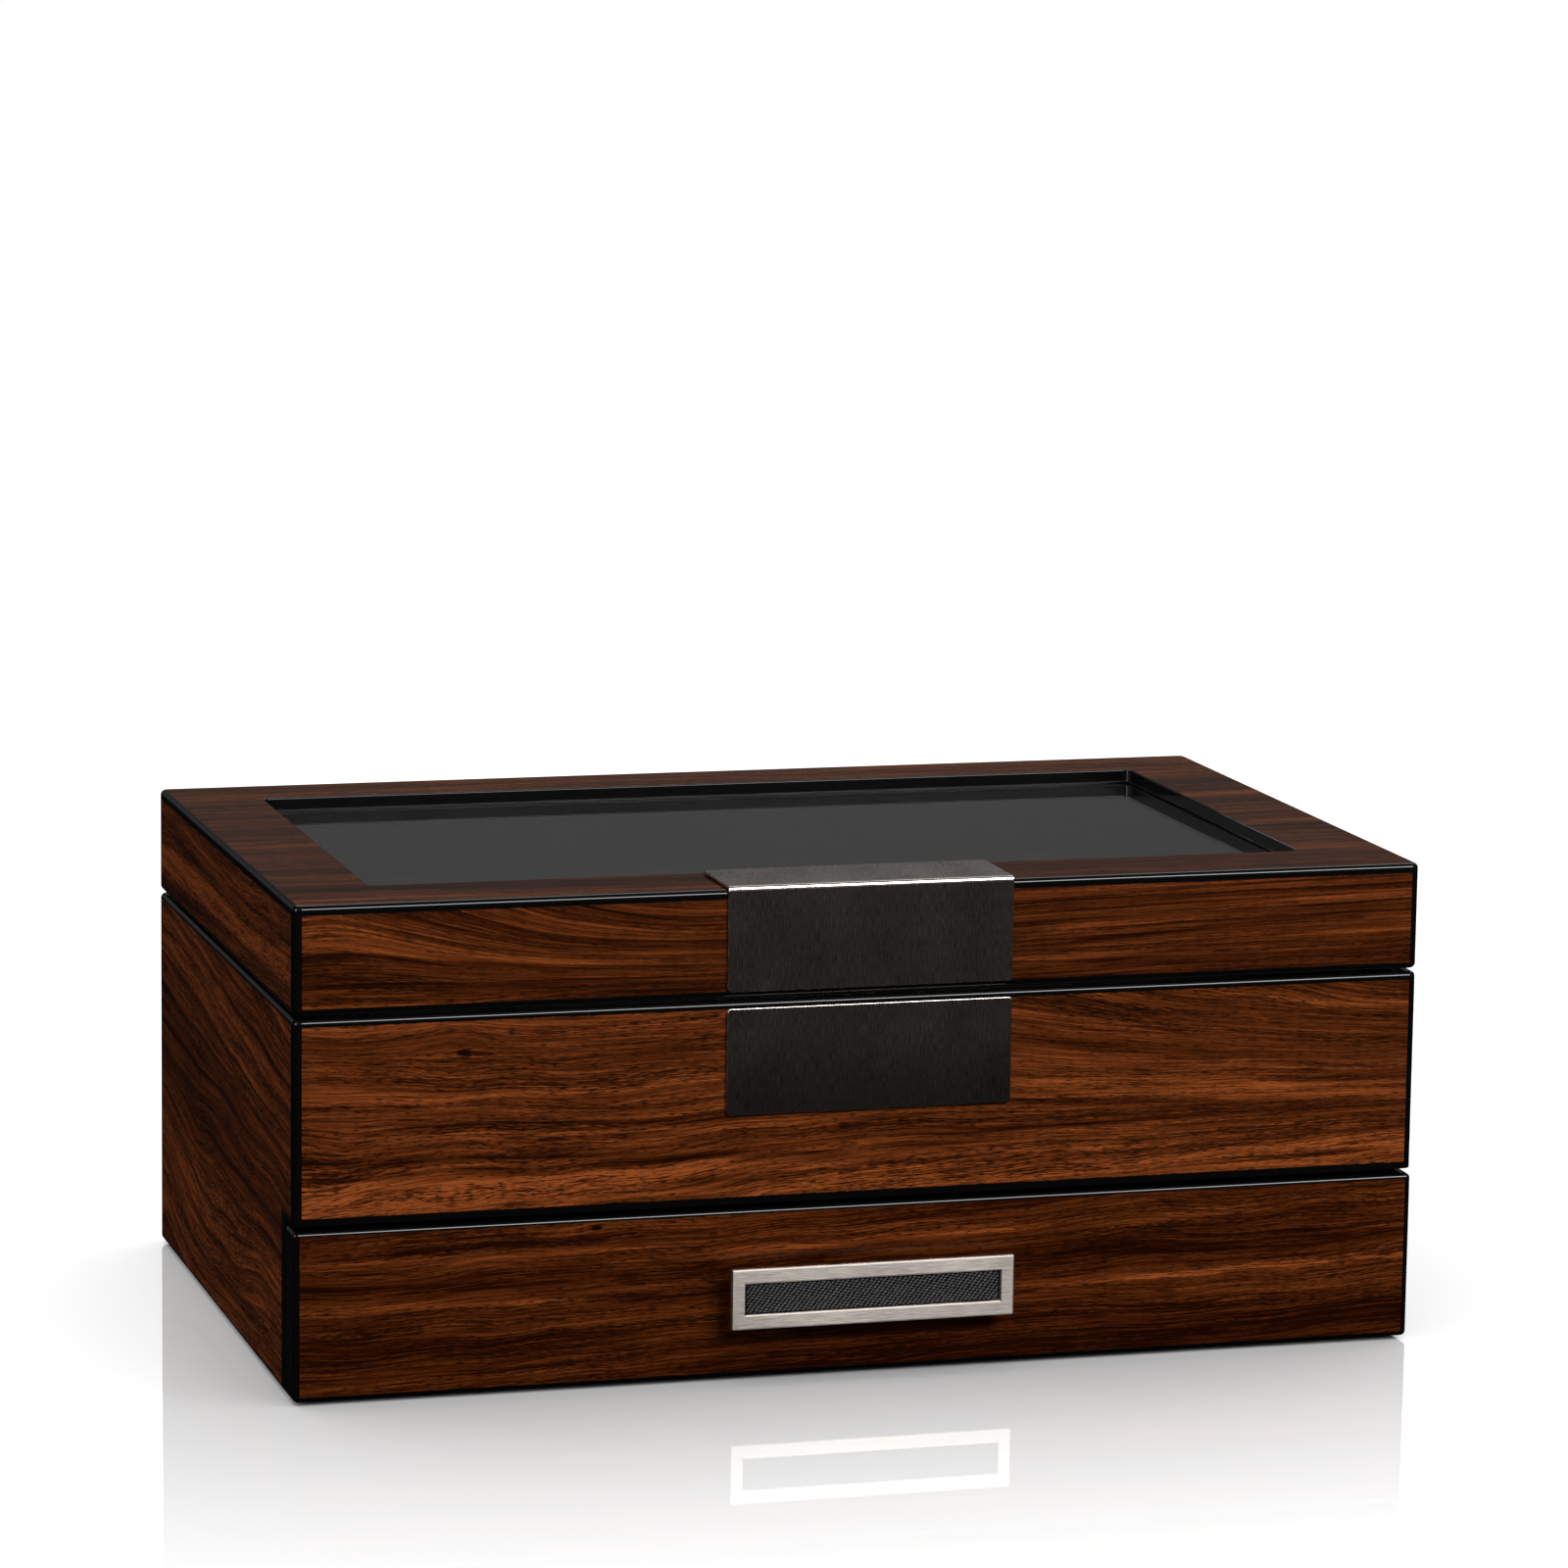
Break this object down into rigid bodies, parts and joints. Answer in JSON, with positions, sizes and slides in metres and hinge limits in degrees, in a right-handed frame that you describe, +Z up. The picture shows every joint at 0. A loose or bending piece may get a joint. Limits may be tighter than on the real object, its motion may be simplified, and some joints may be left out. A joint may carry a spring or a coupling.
{
  "type": "watch box",
  "caption": "Walnut-veneered watch box with a hinged glass-windowed lid over padded watch cushions, steel front plates and a drawer with a framed bar handle below.",
  "frame": {"origin": "centre of the object's box, on the surface that it stands on", "axes": "+Z up, the front with the drawer handle faces -Y, +X along the width"},
  "size_m": [0.34, 0.219, 0.1461],
  "materials": {
    "walnut_lacquer": "high-gloss lacquered walnut veneer with black lacquered edges",
    "glass": "clear float glass",
    "brushed_steel": "brushed stainless steel",
    "leather": "black cross-grained leather",
    "lining": "dark grey velour on board",
    "cushion_velour": "soft grey velour over foam",
    "black_board": "black-stained fibreboard",
    "hinge_steel": "satin nickel-plated steel",
    "felt": "black felt",
    "bumper": "clear soft plastic"
  },
  "bodies": {
    "case": {"case_carcass": "walnut_lacquer", "base_board": "black_board", "deck_board": "lining", "case_plate": "brushed_steel", "lining_front": "lining", "lining_back": "lining", "lining_left": "lining", "lining_right": "lining", "divider_long": "lining", "divider_cross_1": "lining", "divider_cross_2": "lining", "divider_cross_3": "lining", "divider_cross_4": "lining", "cushion_front_1": "cushion_velour", "cushion_front_2": "cushion_velour", "cushion_front_3": "cushion_velour", "cushion_front_4": "cushion_velour", "cushion_front_5": "cushion_velour", "cushion_back_1": "cushion_velour", "cushion_back_2": "cushion_velour", "cushion_back_3": "cushion_velour", "cushion_back_4": "cushion_velour", "cushion_back_5": "cushion_velour", "hinge_left_case_leaf": "hinge_steel", "hinge_right_case_leaf": "hinge_steel", "hinge_left_pin": "hinge_steel", "hinge_right_pin": "hinge_steel", "case_hinge_screw_left_outer": "hinge_steel", "case_hinge_screw_left_inner": "hinge_steel", "case_hinge_screw_right_outer": "hinge_steel", "case_hinge_screw_right_inner": "hinge_steel", "foot_front_left": "felt", "foot_back_left": "felt", "foot_front_right": "felt", "foot_back_right": "felt", "lid_bumper_left": "bumper", "lid_bumper_right": "bumper"},
    "lid": {"lid_frame": "walnut_lacquer", "glass_pane": "glass", "glass_strip_front": "black_board", "glass_strip_back": "black_board", "glass_strip_left": "black_board", "glass_strip_right": "black_board", "lid_plate": "brushed_steel", "hinge_left_lid_leaf": "hinge_steel", "hinge_right_lid_leaf": "hinge_steel", "lid_hinge_screw_left_outer": "hinge_steel", "lid_hinge_screw_left_inner": "hinge_steel", "lid_hinge_screw_right_outer": "hinge_steel", "lid_hinge_screw_right_inner": "hinge_steel"},
    "drawer": {"drawer_front": "walnut_lacquer", "drawer_side_left": "lining", "drawer_side_right": "lining", "drawer_back": "lining", "drawer_bottom": "lining", "drawer_divider": "lining", "handle_frame": "brushed_steel", "handle_inlay": "leather", "handle_screw_left": "hinge_steel", "handle_screw_right": "hinge_steel"}
  },
  "joints": [
    {"name": "lid_hinge", "type": "hinge", "parent": "case", "child": "lid", "pos_m": [0, 0.1079, 0.1128], "axis": [-1, 0, 0], "range_deg": [0, 95]},
    {"name": "drawer_slide", "type": "slide", "parent": "case", "child": "drawer", "axis": [0, -1, 0], "range_m": [0, 0.144]}
  ]
}
